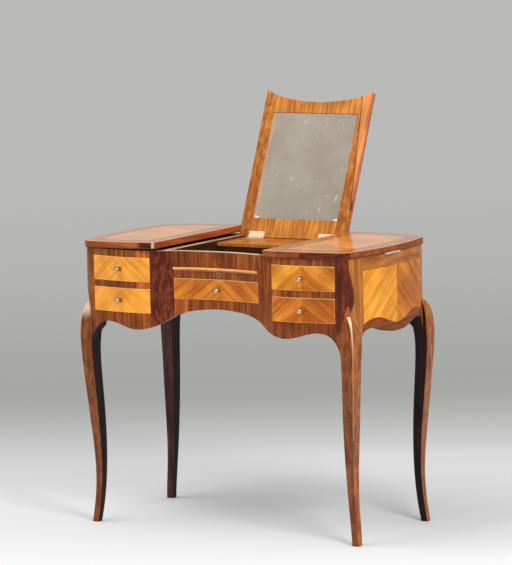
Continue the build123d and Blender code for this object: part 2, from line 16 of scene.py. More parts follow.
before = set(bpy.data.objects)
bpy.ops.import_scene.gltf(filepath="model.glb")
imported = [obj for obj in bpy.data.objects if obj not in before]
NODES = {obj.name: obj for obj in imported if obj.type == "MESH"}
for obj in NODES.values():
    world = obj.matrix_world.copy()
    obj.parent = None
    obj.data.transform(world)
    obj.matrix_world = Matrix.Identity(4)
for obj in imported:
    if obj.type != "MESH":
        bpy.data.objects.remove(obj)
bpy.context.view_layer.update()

# ---------------------------------------------------------------- measures of the table
CASE_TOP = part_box("leg_front_left")[1][2]
LID_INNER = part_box("lid_right")[0][0]                      # inner edge of a lid, in X
PANEL_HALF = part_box("mirror_backboard")[1][0]              # half width of the mirror panel
LID_KNUCKLE, PANEL_KNUCKLE = 0.0025, 0.00275               # radius of the hinges' knuckles
LID_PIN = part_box("lid_hinge_case")[1][0] - LID_KNUCKLE     # a lid's hinge line, in X
PANEL_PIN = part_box("mirror_hinge_fixed")[1][2] - PANEL_KNUCKLE   # the panel's hinge line, in Z
PULL_HEIGHT = 0.0094
PULL_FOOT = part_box("slide_front")[1][2] - PULL_HEIGHT      # under the writing slide's rounded pull
PLAN_MIDDLE = -0.05306     # Y of the middle of the four feet
LEAN = radians(23.85)      # of the raised mirror panel, past upright
BORDER = 0.042             # width of the crossbanded border on the top
LEFT_LID_RISE = 0.0244     # slope of the left lid, which stands ajar
LIP_WIDTH = 0.0074         # of the redder band on a lid's inner edge

# outline of a lid; X is off the centre line
LID_CROWN_X = 0.225        # where its bowed front reaches farthest
LID_FRONT = -0.2855
FRONT_BOW = 1.05           # the front falls back by this times the distance squared
LID_BACK = 0.157
BACK_BOW = 0.0656
CANT_X, CANT_Y, CANT_REACH = 0.64, 0.769, 0.338   # the canted back corner, as a straight line
SIDE_CENTRE = (-0.3832, -0.0566)                  # the bowed side, as an arc
SIDE_RADIUS = 0.7934

# leg: fore is the distance out from the plan's middle, to the front or to the back
POST_X, POST_FORE = 0.3827, 0.204   # outer corner of the post above the knee
POINT_HEIGHT = 0.61                 # tip of the pointed veneer on the knee
POINT_SLOPE = 3.2                   # how steeply it falls away on both sides of the corner
KNEE_TOP = 0.5785                   # the knee stands proud of the post below this height
KNEE_FRONT, KNEE_BACK = 0.582, 0.5  # X and fore together, past which the corner is the knee's
STRIP_FORE = 0.1985                 # edge of the side's veneer on the post
STRIP_SWELL = 0.017                 # how far the post's veneer swells out over it

# side panel
SIDE_BAND_FOOT = 0.679     # crossbanding along the top
WAVE_MIDDLE, WAVE_HEIGHT = 0.547, 0.011   # upper edge of the waved band along the bottom
WAVE_CREST, WAVE_TURN = -0.15206, 31.4    # Y of a crest, and radians a metre

# mirror panel; the glass and the top are measured up the panel's slope from the hinge line
GLASS_FOOT, GLASS_TOP = 0.052, 0.3386
PANEL_TOP, TOP_BOW = 0.378, 0.97          # middle of its hollow top, and how that rises
STRIP_TOP, STRIP_SLOPE = 1.0573, 0.0963   # height at which the stile's joint starts, and its slant
STILE_INNER = 0.135                       # X within which a sideways face is a stile's inner edge


# ---------------------------------------------------------------- node helpers
def rgb(red, green, blue):
    """Linear colour from 8-bit values."""
    parts = [c / 255 for c in (red, green, blue)]
    return tuple(((c + 0.055) / 1.055) ** 2.4 if c > 0.04 else c / 12.92 for c in parts) + (1.0,)


def add(tree, kind, inputs=None, **settings):
    """New shader node; inputs maps a socket to a value or to another node's output."""
    node = tree.nodes.new("ShaderNode" + kind)
    for name, value in settings.items():
        setattr(node, name, value)
    for socket, value in (inputs or {}).items():
        if isinstance(value, bpy.types.NodeSocket):
            tree.links.new(value, node.inputs[socket])
        else:
            node.inputs[socket].default_value = value
    return node


def calc(tree, operation, *values):
    return add(tree, "Math", dict(enumerate(values)), operation=operation).outputs[0]


def minus(tree, first, second):
    return calc(tree, "SUBTRACT", first, second)


def times(tree, *values):
    """Product of values, or a mask that needs all of its masks."""
    product = values[0]
    for value in values[1:]:
        product = calc(tree, "MULTIPLY", product, value)
    return product


def unsigned(tree, value):
    return calc(tree, "ABSOLUTE", value)


def over(tree, value, limit):
    return calc(tree, "GREATER_THAN", value, limit)


def under(tree, value, limit):
    return calc(tree, "LESS_THAN", value, limit)


def ramp(tree, value, low, high, start=0.0, end=1.0):
    """Smooth step from start to end while value goes from low to high."""
    sockets = {"Value": value, "From Min": low, "From Max": high, "To Min": start, "To Max": end}
    return add(tree, "MapRange", sockets, interpolation_type="SMOOTHSTEP").outputs["Result"]


def share(tree, value, low, high):
    """How far value is on its way from low to high."""
    sockets = {"Value": value, "From Min": low, "From Max": high}
    return add(tree, "MapRange", sockets).outputs["Result"]


def blend(tree, amount, first, second, mode="MIX"):
    """Colour that goes from first to second."""
    sockets = {"Factor": amount, 6: first, 7: second}
    return add(tree, "Mix", sockets, data_type="RGBA", blend_type=mode).outputs[2]


def between(tree, amount, first, second):
    """Number that goes from first to second."""
    return add(tree, "Mix", {0: amount, 2: first, 3: second}, data_type="FLOAT").outputs[0]


def axes(tree, place):
    return add(tree, "SeparateXYZ", {0: place}).outputs


def vector(tree, x=0.0, y=0.0, z=0.0):
    return add(tree, "CombineXYZ", {"X": x, "Y": y, "Z": z}).outputs[0]


def vectors(tree, operation, first, second):
    return add(tree, "VectorMath", {0: first, 1: second}, operation=operation).outputs[0]


def scaled(tree, color, factor):
    return add(tree, "VectorMath", {0: color, "Scale": factor}, operation="SCALE").outputs[0]


def noise(tree, place, size, detail=2.0, roughness=0.5):
    """Noise with size features a metre: a number, or one for each axis."""
    if isinstance(size, tuple):
        place, size = vectors(tree, "MULTIPLY", place, size), 1.0
    sockets = {"Vector": place, "Scale": size, "Detail": detail, "Roughness": roughness}
    return add(tree, "TexNoise", sockets).outputs["Fac"]


def new_group(name, inputs, outputs):
    """Empty node group with the given sockets."""
    tree = bpy.data.node_groups.new(name, "ShaderNodeTree")
    for socket, kind, value in inputs:
        made = tree.interface.new_socket(socket, in_out="INPUT", socket_type="NodeSocket" + kind)
        made.default_value = value
    for socket, kind in outputs:
        tree.interface.new_socket(socket, in_out="OUTPUT", socket_type="NodeSocket" + kind)
    return tree, tree.nodes.new("NodeGroupInput").outputs, tree.nodes.new("NodeGroupOutput").inputs


# ---------------------------------------------------------------- woods, and how veneer is laid
# which way a leaf of veneer faces
FRONT = (0.0, 0.0, 0.0)
SIDE = (0.0, 0.0, -pi / 2)
TOP = (pi / 2, 0.0, 0.0)
BOARD = (0.0, pi / 2, 0.0)   # a lying board, its grain from side to side
PANEL = (LEAN, 0.0, 0.0)
ACROSS = radians(90)         # grain turned a quarter

# pale, warm and dark shade of each wood, and how strongly it is streaked
TULIPWOOD = (rgb(252, 178, 56), rgb(228, 144, 40), rgb(182, 94, 22), 0.5)
TULIPWOOD_CALM = (rgb(255, 178, 70), rgb(240, 156, 54), rgb(210, 122, 38), 0.45)
TULIPWOOD_MID = (rgb(238, 162, 50), rgb(212, 130, 36), rgb(168, 84, 20), 0.5)
TULIPWOOD_DEEP = (rgb(230, 140, 44), rgb(192, 102, 28), rgb(134, 60, 18), 0.5)
TULIPWOOD_AMBER = (rgb(222, 140, 46), rgb(190, 108, 30), rgb(136, 66, 18), 0.5)
TULIPWOOD_RED = (rgb(208, 118, 34), rgb(172, 86, 24), rgb(120, 52, 14), 0.5)
TULIPWOOD_BROWN = (rgb(224, 138, 36), rgb(194, 108, 24), rgb(140, 68, 14), 0.5)
KINGWOOD = (rgb(164, 90, 34), rgb(124, 58, 20), rgb(62, 24, 8), 0.6)
KINGWOOD_PALE = (rgb(200, 126, 48), rgb(168, 96, 32), rgb(100, 50, 18), 0.6)
KINGWOOD_RED = (rgb(166, 88, 28), rgb(128, 56, 18), rgb(72, 28, 8), 0.6)
KINGWOOD_DEEP = (rgb(146, 74, 24), rgb(106, 46, 16), rgb(54, 20, 6), 0.6)
KINGWOOD_DARK = (rgb(132, 50, 18), rgb(78, 24, 8), rgb(34, 10, 6), 0.65)
BURR = (rgb(128, 56, 26), rgb(72, 22, 8), rgb(32, 10, 6), 0.5)
LEG_WOOD = (rgb(186, 108, 46), rgb(140, 70, 26), rgb(72, 30, 14), 0.55)
LID_FIELD = (rgb(246, 164, 72), rgb(232, 144, 58), rgb(188, 102, 40), 0.4)
LID_BORDER = (rgb(210, 118, 44), rgb(178, 90, 32), rgb(126, 54, 22), 0.45)
LID_EDGE = (rgb(192, 104, 46), rgb(162, 80, 34), rgb(104, 46, 20), 0.4)
LID_INNER_EDGE = (rgb(190, 92, 42), rgb(160, 70, 32), rgb(96, 40, 18), 0.5)
SLIDE_PULL = (rgb(255, 190, 122), rgb(240, 160, 92), rgb(196, 110, 58), 0.4)
MIRROR_FRAME = (rgb(196, 126, 50), rgb(152, 84, 30), rgb(92, 42, 14), 0.55)
MIRROR_RAIL = (rgb(216, 146, 60), rgb(174, 102, 38), rgb(108, 54, 18), 0.6)
MIRROR_STRIP = (rgb(230, 156, 100), rgb(208, 126, 72), rgb(150, 82, 44), 0.4)
OAK = (rgb(140, 96, 56), rgb(112, 72, 40), rgb(70, 42, 24), 0.5)
# dark wood of the well, darkened further as painted shade
WELL_WOOD_AND_SHADE = (rgb(84, 48, 26), rgb(60, 34, 20), rgb(34, 20, 14), 0.5)
# pale bare wood; also used as a painted reflection on the partitions' tops
BARE_WOOD_AND_GLARE = (rgb(222, 190, 168), rgb(204, 168, 144), rgb(156, 118, 92), 0.4)
# dark stain of the legs' inner faces, also used as painted shade on sawn edges
STAIN_AND_SHADE = (rgb(44, 20, 18), rgb(24, 11, 14), rgb(10, 4, 8), 0.6)
STAIN_BROWN = (rgb(92, 56, 50), rgb(66, 38, 38), rgb(34, 18, 22), 0.6)


# ---------------------------------------------------------------- effects that materials share
# how fine the figure is: features a metre across a leaf, through it and along its grain
SWAYS = (9, 9, 4)
BANDS = (110, 50, 7)
CURLS = (75, 75, 42)
STREAKS = (300, 110, 12)
PORES = (1500, 800, 60)
CLOUDS = 14.0


def veneer_group():
    """Straight or curly veneer. Facing turns the leaf so that its grain stands along Z, Fold mirrors
    it about the origin as in book-matched leaves, Grain then turns it in its own plane."""
    tree, given, result = new_group(
        "veneer",
        (("Vector", "Vector", (0, 0, 0)), ("Origin", "Vector", (0, 0, 0)),
         ("Facing", "Vector", (0, 0, 0)), ("Fold", "Float", 0.0), ("Grain", "Float", 0.0),
         ("Seed", "Float", 0.0), ("Pale", "Color", (1, 1, 1, 1)), ("Warm", "Color", (0.5, 0.5, 0.5, 1)),
         ("Dark", "Color", (0, 0, 0, 1)), ("Streaks", "Float", 0.5), ("Waves", "Float", 1.0),
         ("Curl", "Float", 0.0), ("Fineness", "Float", 1.0)),
        (("Color", "Color"), ("Height", "Float"), ("Roughness", "Float")))
    place = vectors(tree, "SUBTRACT", given["Vector"], given["Origin"])
    place = add(tree, "VectorRotate", {"Vector": place, "Rotation": given["Facing"]},
                rotation_type="EULER_XYZ").outputs[0]
    leaf = axes(tree, place)
    across = between(tree, given["Fold"], leaf["X"], unsigned(tree, leaf["X"]))
    place = vector(tree, across, leaf["Y"], leaf["Z"])
    place = add(tree, "VectorRotate", {"Vector": place, "Angle": given["Grain"]},
                rotation_type="Y_AXIS").outputs[0]
    seed = given["Seed"]
    shift = vector(tree, seed, times(tree, seed, 2.7), times(tree, seed, 5.1))
    place = vectors(tree, "ADD", place, shift)
    sway = minus(tree, noise(tree, place, SWAYS, 1.0), 0.5)
    sway = times(tree, times(tree, sway, given["Waves"]), 0.012)
    place = vectors(tree, "ADD", place, vector(tree, sway))

    figure = scaled(tree, place, given["Fineness"])
    bands = noise(tree, figure, BANDS, 3.0, 0.6)
    curls = noise(tree, figure, CURLS, 3.0, 0.6)
    bands = between(tree, given["Curl"], bands, curls)
    streaks = noise(tree, figure, STREAKS, 3.0, 0.65)
    pores = noise(tree, place, PORES, 1.0)
    clouds = noise(tree, place, CLOUDS)

    color = blend(tree, ramp(tree, bands, 0.36, 0.62), given["Pale"], given["Warm"])
    lines = times(tree, ramp(tree, streaks, 0.44, 0.68), given["Streaks"])
    color = blend(tree, lines, color, given["Dark"])
    color = blend(tree, ramp(tree, pores, 0.55, 0.72, 0.0, 0.4), color, given["Dark"])
    color = scaled(tree, color, ramp(tree, clouds, 0.3, 0.7, 0.82, 1.14))
    tree.links.new(color, result["Color"])
    grooves = calc(tree, "ADD", times(tree, streaks, 0.4), ramp(tree, pores, 0.5, 0.7, 0.6, 0.0))
    tree.links.new(grooves, result["Height"])
    tree.links.new(ramp(tree, clouds, 0.3, 0.7, 0.27, 0.4), result["Roughness"])
    return tree


VENEER = veneer_group()


def veneer(tree, place, wood, facing=FRONT, grain=0.0, origin=(0, 0, 0), fold=0.0, seed=0.0,
           waves=1.0, curl=0.0, fineness=1.0):
    """One leaf of veneer: its colour, height and roughness."""
    pale, warm, dark, streaks = wood
    sockets = {"Vector": place, "Origin": origin, "Facing": facing, "Fold": fold, "Grain": grain,
               "Seed": seed, "Pale": pale, "Warm": warm, "Dark": dark, "Streaks": streaks,
               "Waves": waves, "Curl": curl, "Fineness": fineness}
    return add(tree, "Group", sockets, node_tree=VENEER).outputs


def joint_line_group():
    """Dark line along a joint: Off is how far a place is from it, on either side."""
    tree, given, result = new_group(
        "joint_line",
        (("Color", "Color", (1, 1, 1, 1)), ("Off", "Float", 1.0), ("Near", "Float", 0.0006),
         ("Far", "Float", 0.0013), ("Strength", "Float", 1.0), ("Line", "Color", (0, 0, 0, 1))),
        (("Color", "Color"),))
    off = unsigned(tree, given["Off"])
    line = ramp(tree, off, given["Near"], given["Far"], given["Strength"], 0.0)
    tree.links.new(blend(tree, line, given["Color"], given["Line"]), result["Color"])
    return tree


JOINT_LINE = joint_line_group()


def lined(tree, color, off, near, far, strength, line):
    """Colour with a line where off is 0, full up to near from it and gone at far."""
    sockets = {"Color": color, "Off": off, "Near": near, "Far": far, "Strength": strength, "Line": line}
    return add(tree, "Group", sockets, node_tree=JOINT_LINE).outputs["Color"]


def leaf_joints_group():
    """Run of two or three leaves of veneer, each in its own shade, with a fine dark joint between."""
    tree, given, result = new_group(
        "leaf_joints",
        (("Color", "Color", (1, 1, 1, 1)), ("Along", "Float", 0.0),
         ("Joint 1", "Float", 1.0), ("Joint 2", "Float", 1.0),
         ("Shade 1", "Float", 1.0), ("Shade 2", "Float", 1.0), ("Shade 3", "Float", 1.0)),
        (("Color", "Color"),))
    shade = given["Shade 1"]
    for joint, next_shade in (("Joint 1", "Shade 2"), ("Joint 2", "Shade 3")):
        shade = between(tree, over(tree, given["Along"], given[joint]), shade, given[next_shade])
    color = scaled(tree, given["Color"], shade)
    for joint in ("Joint 1", "Joint 2"):
        off = minus(tree, given["Along"], given[joint])
        color = lined(tree, color, off, 0.0003, 0.0009, 0.75, rgb(34, 16, 12))
    tree.links.new(color, result["Color"])
    return tree


LEAF_JOINTS = leaf_joints_group()


def joined(tree, color, along, joints, shades):
    """Leaves side by side: where the one or two joints between them are, and each leaf's shade."""
    sockets = {"Color": color, "Along": along}
    sockets.update({f"Joint {number}": joint for number, joint in enumerate(joints, 1)})
    sockets.update({f"Shade {number}": shade for number, shade in enumerate(shades, 1)})
    return add(tree, "Group", sockets, node_tree=LEAF_JOINTS).outputs["Color"]


def face_direction_group():
    """The way a face looks, in the piece's own frame, so that it turns with the piece."""
    tree, given, result = new_group(
        "face_direction", (), (("X", "Float"), ("Y", "Float"), ("Z", "Float")))
    normal = add(tree, "NewGeometry").outputs["True Normal"]
    own = add(tree, "VectorTransform", {0: normal},
              vector_type="NORMAL", convert_from="WORLD", convert_to="OBJECT").outputs[0]
    for axis, part in zip("XYZ", axes(tree, own)):
        tree.links.new(part, result[axis])
    return tree


FACE_DIRECTION = face_direction_group()


def face_direction(tree):
    return add(tree, "Group", node_tree=FACE_DIRECTION).outputs


def top_face(tree):
    """1 on level faces that look up."""
    return over(tree, face_direction(tree)["Z"], 0.9)


def sawn_edge(tree, axis):
    """1 on the faces that don't look along the axis of a board's thickness."""
    return under(tree, unsigned(tree, face_direction(tree)[axis]), 0.5)


def polish_group():
    """French polish, thinner and duller towards the places where Bare is 1."""
    tree, given, result = new_group(
        "polish", (("Coat", "Float", 0.1), ("Roughness", "Float", 0.3), ("Bare", "Float", 0.0)),
        (("Coat Weight", "Float"), ("Roughness", "Float")))
    left_off = times(tree, given["Coat"], given["Bare"])
    tree.links.new(minus(tree, given["Coat"], left_off), result["Coat Weight"])
    rough = calc(tree, "MAXIMUM", given["Roughness"], times(tree, given["Bare"], 0.6))
    tree.links.new(rough, result["Roughness"])
    return tree


POLISH = polish_group()


def top_layout_group():
    """How far a place on a lid is in from its outline, and whether one of its sides is nearest."""
    tree, given, result = new_group(
        "top_layout", (("Vector", "Vector", (0, 0, 0)),),
        (("Inset", "Float"), ("Sideways", "Float")))
    place = axes(tree, given["Vector"])
    x, y = unsigned(tree, place["X"]), place["Y"]
    bend = calc(tree, "POWER", unsigned(tree, minus(tree, x, LID_CROWN_X)), 2.0)
    front = minus(tree, y, calc(tree, "MULTIPLY_ADD", bend, FRONT_BOW, LID_FRONT))
    bend = calc(tree, "POWER", x, 2.0)
    bowed = minus(tree, calc(tree, "MULTIPLY_ADD", bend, -BACK_BOW, LID_BACK), y)
    cant = minus(tree, calc(tree, "MULTIPLY_ADD", x, -CANT_X, CANT_REACH), times(tree, y, CANT_Y))
    back = calc(tree, "MINIMUM", bowed, cant)
    reach = vector(tree, minus(tree, x, SIDE_CENTRE[0]), minus(tree, y, SIDE_CENTRE[1]))
    radius = add(tree, "VectorMath", {0: reach}, operation="LENGTH").outputs["Value"]
    outer = minus(tree, SIDE_RADIUS, radius)
    inner = minus(tree, x, LID_INNER)
    ends = calc(tree, "MINIMUM", front, back)
    sides = calc(tree, "MINIMUM", outer, inner)
    tree.links.new(calc(tree, "MINIMUM", ends, sides), result["Inset"])
    tree.links.new(under(tree, sides, ends), result["Sideways"])
    return tree


TOP_LAYOUT = top_layout_group()


def bordered_leaf_group():
    """Calm field of veneer inside a crossbanded border, with a fine line between the two."""
    tree, given, result = new_group(
        "bordered_leaf",
        (("Vector", "Vector", (0, 0, 0)), ("Facing", "Vector", (0, 0, 0)), ("Inset", "Float", 0.0),
         ("Sideways", "Float", 0.0), ("Width", "Float", BORDER), ("Field Seed", "Float", 0.0),
         ("Ends Seed", "Float", 0.0), ("Sides Seed", "Float", 0.0)),
        (("Color", "Color"), ("Height", "Float"), ("Roughness", "Float")))
    place, facing = given["Vector"], given["Facing"]
    field = veneer(tree, place, LID_FIELD, facing=facing, seed=given["Field Seed"], grain=ACROSS)
    ends = veneer(tree, place, LID_BORDER, facing=facing, seed=given["Ends Seed"])
    sides = veneer(tree, place, LID_BORDER, facing=facing, seed=given["Sides Seed"], grain=ACROSS)
    banding = blend(tree, given["Sideways"], ends["Color"], sides["Color"])
    border = under(tree, given["Inset"], given["Width"])
    color = blend(tree, border, field["Color"], banding)
    off = minus(tree, given["Inset"], given["Width"])
    color = lined(tree, color, off, 0.0006, 0.0013, 1.0, rgb(120, 66, 40))
    tree.links.new(color, result["Color"])
    tree.links.new(field["Height"], result["Height"])
    tree.links.new(field["Roughness"], result["Roughness"])
    return tree


BORDERED_LEAF = bordered_leaf_group()


def patina_group():
    """Handling dirt and rubbed spots on metal: a mask and the roughness that goes with it."""
    tree, given, result = new_group(
        "patina", (("Vector", "Vector", (0, 0, 0)), ("Size", "Float", 300.0)),
        (("Mask", "Float"), ("Roughness", "Float"), ("Height", "Float")))
    spots = noise(tree, given["Vector"], given["Size"], 4.0, 0.65)
    tree.links.new(ramp(tree, spots, 0.42, 0.66), result["Mask"])
    tree.links.new(ramp(tree, spots, 0.35, 0.7, 0.24, 0.5), result["Roughness"])
    tree.links.new(spots, result["Height"])
    return tree


PATINA = patina_group()


# ---------------------------------------------------------------- finish of wood and metal
def new_material(name):
    """Material with an empty tree, and the place on the piece in its own coordinates."""
    material = bpy.data.materials.new(name)
    material.use_nodes = True
    tree = material.node_tree
    tree.nodes.clear()
    return material, tree, add(tree, "TexCoord").outputs["Object"]


def dress(material, *names):
    """Gives CAD nodes a material in each of their slots."""
    for name in names:
        slots = NODES[name].data.materials
        if len(slots) == 0:
            slots.append(material)
        for index in range(len(slots)):
            slots[index] = material


def polished(material, tree, color, grain, coat=0.1, bare=None):
    """French-polished wood over the given colour and grain; where bare is 1 the polish is left off."""
    bump = add(tree, "Bump", {"Strength": 0.5, "Distance": 0.00012, "Height": grain["Height"]})
    sockets = {"Base Color": color, "Roughness": grain["Roughness"], "Normal": bump.outputs[0],
               "Coat Weight": coat, "Coat Roughness": 0.14, "Specular IOR Level": 0.17}
    if bare is not None:
        given = {"Coat": coat, "Roughness": grain["Roughness"], "Bare": bare}
        polish = add(tree, "Group", given, node_tree=POLISH).outputs
        sockets.update({"Coat Weight": polish["Coat Weight"], "Roughness": polish["Roughness"]})
    shader = add(tree, "BsdfPrincipled", sockets)
    add(tree, "OutputMaterial", {"Surface": shader.outputs[0]})
    return material


def plain_veneer(name, wood, coat=0.1, **leaf):
    """One leaf of veneer, or bare wood where coat is 0."""
    material, tree, place = new_material(name)
    grain = veneer(tree, place, wood, **leaf)
    return polished(material, tree, grain["Color"], grain, coat)


def worn_metal(name, bright, dull, size, metallic):
    """Old brass, bronze or steel: bright where it is rubbed, dull in between."""
    material, tree, place = new_material(name)
    wear = add(tree, "Group", {"Vector": place, "Size": size}, node_tree=PATINA).outputs
    color = blend(tree, wear["Mask"], bright, dull)
    bump = add(tree, "Bump", {"Strength": 0.3, "Distance": 0.00008, "Height": wear["Height"]})
    shader = add(tree, "BsdfPrincipled", {
        "Base Color": color, "Roughness": wear["Roughness"], "Metallic": metallic,
        "Normal": bump.outputs[0]})
    add(tree, "OutputMaterial", {"Surface": shader.outputs[0]})
    return material


# ---------------------------------------------------------------- front
def drawer_veneer(name, node, left, right, seed):
    """Leaves book-matched about the middle of a front, with a painted highlight along its edges."""
    material, tree, place = new_material(name)
    low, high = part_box(node)
    middle = (low[0] + high[0]) / 2
    leaves = [veneer(tree, place, wood, origin=(middle, 0, 0), fold=1.0, grain=radians(52),
                     seed=seed, waves=0.8, fineness=0.45) for wood in (left, right)]
    where = axes(tree, place)
    off = minus(tree, where["X"], middle)
    color = blend(tree, over(tree, off, 0.0), leaves[0]["Color"], leaves[1]["Color"])
    from_end = minus(tree, (high[0] - low[0]) / 2, unsigned(tree, off))
    from_foot = minus(tree, where["Z"], low[2])
    # painted highlight: a pale line along the front's top edge, fainter along its ends and foot
    painted_upper_highlight = ramp(tree, minus(tree, high[2], where["Z"]), 0.001, 0.002, 0.55, 0.0)
    painted_edge_highlight = ramp(tree, calc(tree, "MINIMUM", from_end, from_foot), 0.0008, 0.0018, 0.25, 0.0)
    color = blend(tree, calc(tree, "MAXIMUM", painted_upper_highlight, painted_edge_highlight), color, rgb(255, 206, 128))
    dress(polished(material, tree, color, leaves[0]), node)


def rail_veneer(name, wood, joints, shades, seed, waves=1.0, curl=0.0):
    """Short lengths of crossbanding set side by side, with a painted reflection making their top face
    pale.
    """
    material, tree, place = new_material(name)
    grain = veneer(tree, place, wood, seed=seed, waves=waves, curl=curl)
    color = joined(tree, grain["Color"], axes(tree, place)["X"], joints, shades)
    # painted reflection: faces that look up are made pale
    color = blend(tree, top_face(tree), color, rgb(214, 186, 166))
    return polished(material, tree, color, grain)


def apron_veneer(name, wood, seed, joints=(), shades=()):
    """Crossbanded apron, its sawn edges darkened as painted shade."""
    material, tree, place = new_material(name)
    grain = veneer(tree, place, wood, seed=seed)
    painted_edge_shade = veneer(tree, place, STAIN_AND_SHADE, seed=seed + 1)
    color = joined(tree, grain["Color"], axes(tree, place)["X"], joints, shades)
    sawn = sawn_edge(tree, "Y")
    # painted shade: the sawn edges take a dark stain colour
    color = blend(tree, sawn, color, painted_edge_shade["Color"])
    return polished(material, tree, color, grain, bare=sawn)


def slide_veneer():
    """Crossbanded fascia under the slide's solid rounded pull of paler wood, with painted shade and
    highlight on the pull.
    """
    material, tree, place = new_material("slide_veneer")
    grain = veneer(tree, place, KINGWOOD, seed=16.0)
    pull = veneer(tree, place, SLIDE_PULL, seed=35.0, grain=ACROSS, fineness=0.5)
    height = axes(tree, place)["Z"]
    color = blend(tree, over(tree, height, PULL_FOOT), grain["Color"], pull["Color"])
    # painted shade and highlight: the pull darkens towards its foot and brightens towards its top
    shade = ramp(tree, height, PULL_FOOT + 0.0013, PULL_FOOT + 0.0063, 0.55, 1.05)
    shade = calc(tree, "MAXIMUM", shade, under(tree, height, PULL_FOOT))
    return polished(material, tree, scaled(tree, color, shade), grain, coat=0.3)


for name, node, left, right, seed in (
        ("sham_left_veneer", "sham_front_left", TULIPWOOD_CALM, TULIPWOOD_CALM, 1.0),
        ("sham_right_veneer", "sham_front_right", TULIPWOOD_MID, TULIPWOOD_AMBER, 2.0),
        ("drawer_left_veneer", "drawer_front_left", TULIPWOOD_CALM, TULIPWOOD_CALM, 3.0),
        ("drawer_right_veneer", "drawer_front_right", TULIPWOOD_DEEP, TULIPWOOD_RED, 4.0),
        ("drawer_centre_veneer", "drawer_front_centre", TULIPWOOD_DEEP, TULIPWOOD_DEEP, 5.0)):
    drawer_veneer(name, node, left, right, seed)

for name, node, joints, shades, seed in (
        ("top_rail_left_veneer", "top_rail_left", (-0.222,), (1.0, 1.75), 6.0),
        ("middle_rail_left_veneer", "middle_rail_left", (-0.216,), (1.0, 1.75), 7.0),
        ("top_rail_right_veneer", "top_rail_right", (0.21, 0.32), (1.1, 0.95, 0.6), 8.0),
        ("middle_rail_right_veneer", "middle_rail_right", (0.207,), (1.7, 0.95), 9.0),
        ("frieze_veneer", "frieze_centre", (-0.09, 0.05), (0.7, 0.92, 1.15), 10.0)):
    dress(rail_veneer(name, KINGWOOD, joints, shades, seed), node)

dress(apron_veneer("apron_centre_veneer", KINGWOOD, 11.0, (-0.085,), (1.8, 1.0)), "apron_centre")
dress(apron_veneer("apron_left_veneer", KINGWOOD, 12.0), "apron_left")
dress(apron_veneer("apron_right_veneer", KINGWOOD_DEEP, 13.0), "apron_right")
dress(rail_veneer("inner_stile_left_veneer", BURR, (-0.14,), (1.1, 1.25), 14.0, waves=6.0, curl=0.7),
      "inner_stile_left")
dress(plain_veneer("inner_stile_right_veneer", KINGWOOD_RED, seed=15.0, waves=1.5),
      "inner_stile_right")
dress(slide_veneer(), "slide_front")


# ---------------------------------------------------------------- legs, sides and back
def pointed_knee(tree, color, knee, x, fore, height):
    """The knee's veneer, which ends in a point on the corner, with a dark joint round it. Also gives
    how far a place is below that joint."""
    off = calc(tree, "MAXIMUM", minus(tree, POST_X, x), minus(tree, POST_FORE, fore))
    below = minus(tree, calc(tree, "MULTIPLY_ADD", off, -POINT_SLOPE, POINT_HEIGHT), height)
    color = blend(tree, over(tree, below, 0.0), color, knee)
    return lined(tree, color, below, 0.001, 0.004, 0.7, rgb(44, 18, 12)), below


def painted_corner_highlight(tree, color, x, fore, height, outward, proud_reach):
    """Painted highlight along the leg's long corner, palest on the knee."""
    sideways, endways = outward
    proud = over(tree, calc(tree, "ADD", x, fore), proud_reach)
    square = calc(tree, "COMPARE", sideways, endways, 0.05)
    corner = times(tree, calc(tree, "MINIMUM", sideways, endways), square, proud)
    corner = times(tree, corner, under(tree, height, KNEE_TOP))
    # painted highlight colour: golden low on the leg, cream on the knee
    pale = blend(tree, ramp(tree, height, 0.46, 0.55), rgb(206, 142, 78), rgb(244, 208, 160))
    return blend(tree, times(tree, over(tree, corner, 0.5), 0.7), color, pale)


